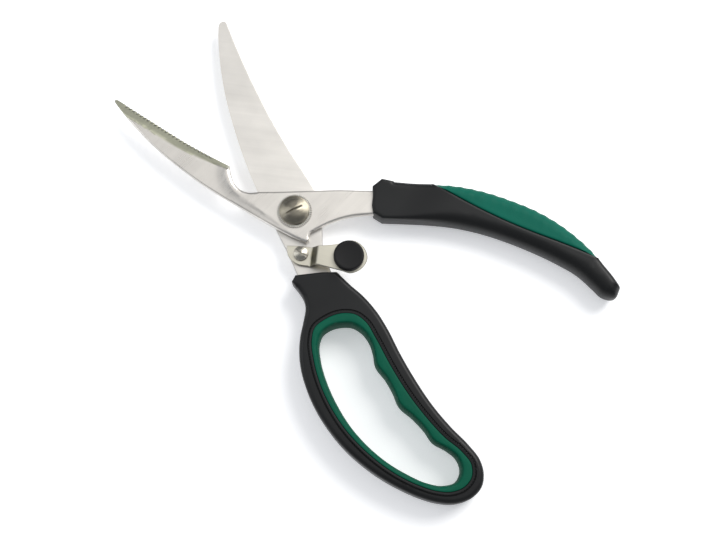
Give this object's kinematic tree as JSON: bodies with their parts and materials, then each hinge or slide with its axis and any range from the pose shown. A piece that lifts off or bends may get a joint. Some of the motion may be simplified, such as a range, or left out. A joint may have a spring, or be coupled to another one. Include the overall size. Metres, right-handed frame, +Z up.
{
  "type": "poultry shears",
  "caption": "Spring-opened poultry shears with a serrated blade and bone notch, a looped handle, a palm handle and a swinging thumb latch.",
  "frame": {"origin": "pivot axis at the height of the surface the shears lie on, at the flat bottom of the pivot nut", "axes": "+X along the middle of the open blades towards the tips, +Z up out of the surface, the serrated blade on the +Y side"},
  "size_m": [0.2519, 0.1472, 0.0191],
  "materials": {
    "blade_steel": "satin ground stainless steel",
    "pivot_steel": "turned stainless steel",
    "latch_steel": "satin sheet steel",
    "spring_steel": "plain spring steel",
    "black_plastic": "fine matte moulded plastic",
    "button_plastic": "matte",
    "green_rubber": "soft matte"
  },
  "bodies": {
    "lower": {"plain_blade": "blade_steel", "loop_handle": "black_plastic", "loop_grip": "green_rubber", "pivot_bolt": "pivot_steel", "knurled_ring": "pivot_steel", "pivot_nut": "pivot_steel", "lock_washer": "spring_steel", "stop_pin": "spring_steel", "opening_spring": "spring_steel", "latch_screw": "pivot_steel", "latch_washer": "spring_steel"},
    "upper": {"serrated_blade": "blade_steel", "palm_handle": "black_plastic", "palm_grip": "green_rubber"},
    "latch": {"latch_lever": "latch_steel", "latch_button": "button_plastic", "latch_rivet": "spring_steel"}
  },
  "joints": [
    {"name": "blade_pivot", "type": "hinge", "parent": "lower", "child": "upper", "pos_m": [0, 0, 0.008], "axis": [0, 0, 1], "range_deg": [-36.5, 0], "stiffness_Nm_per_rad": 0.6, "springref_deg": 28.65, "deforming": ["opening_spring"]},
    {"name": "latch_pivot", "type": "hinge", "parent": "lower", "child": "latch", "pos_m": [-0.01755, 0.01028, 0.009], "axis": [0, 0, 1], "range_deg": [-19, 0]}
  ]
}
